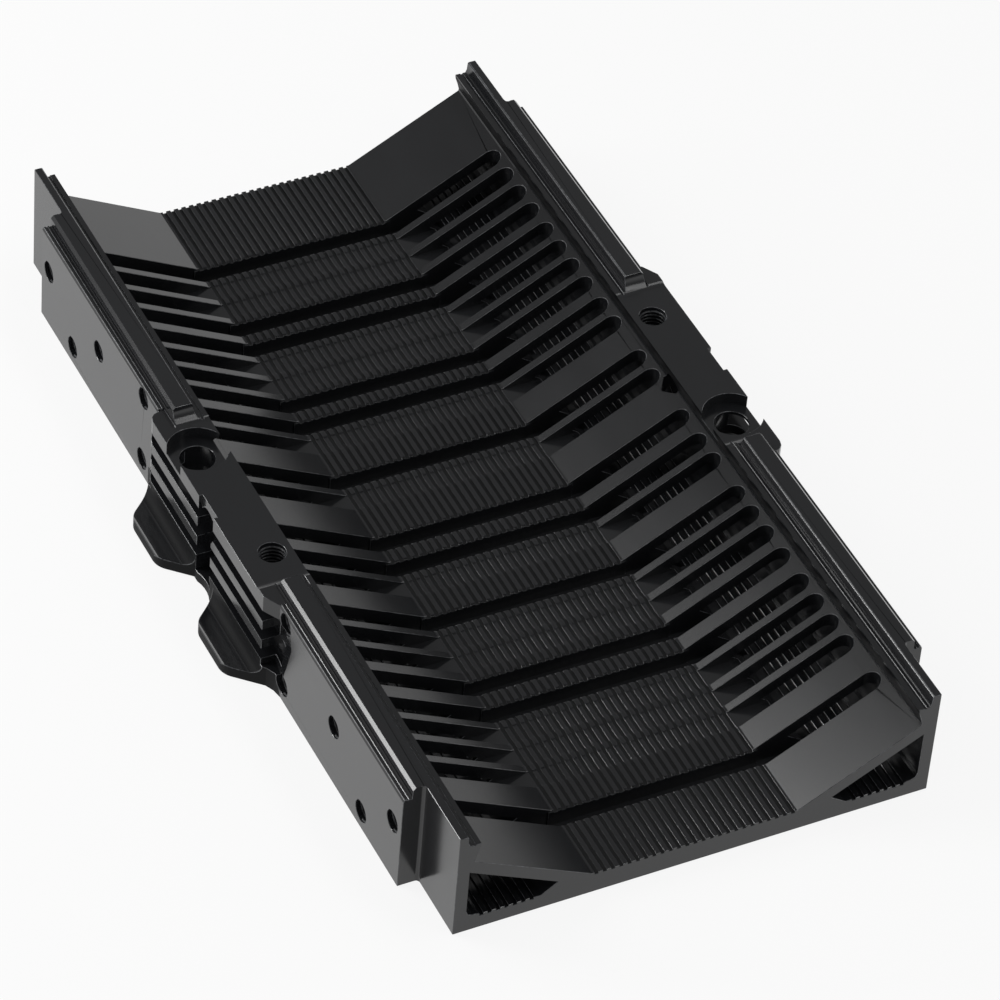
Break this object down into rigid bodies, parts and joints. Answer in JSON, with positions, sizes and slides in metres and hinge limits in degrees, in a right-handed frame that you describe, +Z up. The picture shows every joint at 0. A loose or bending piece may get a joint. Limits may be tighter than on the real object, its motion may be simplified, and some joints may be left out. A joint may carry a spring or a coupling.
{
  "type": "heat sink",
  "caption": "Long black aluminium heat sink tray with a ribbed floor, slotted sloping sides, end-to-end side tunnels, milled mounting ears and drilled side pads.",
  "frame": {"origin": "middle of the flat underside", "axes": "+X across the tray towards one long side, +Y along the length, +Z up out of the tray"},
  "size_m": [0.1118, 0.1836, 0.0227],
  "materials": {
    "anodised_aluminium": "black anodised, satin"
  },
  "bodies": {
    "root": {"heat_sink": "anodised_aluminium"}
  },
  "joints": []
}
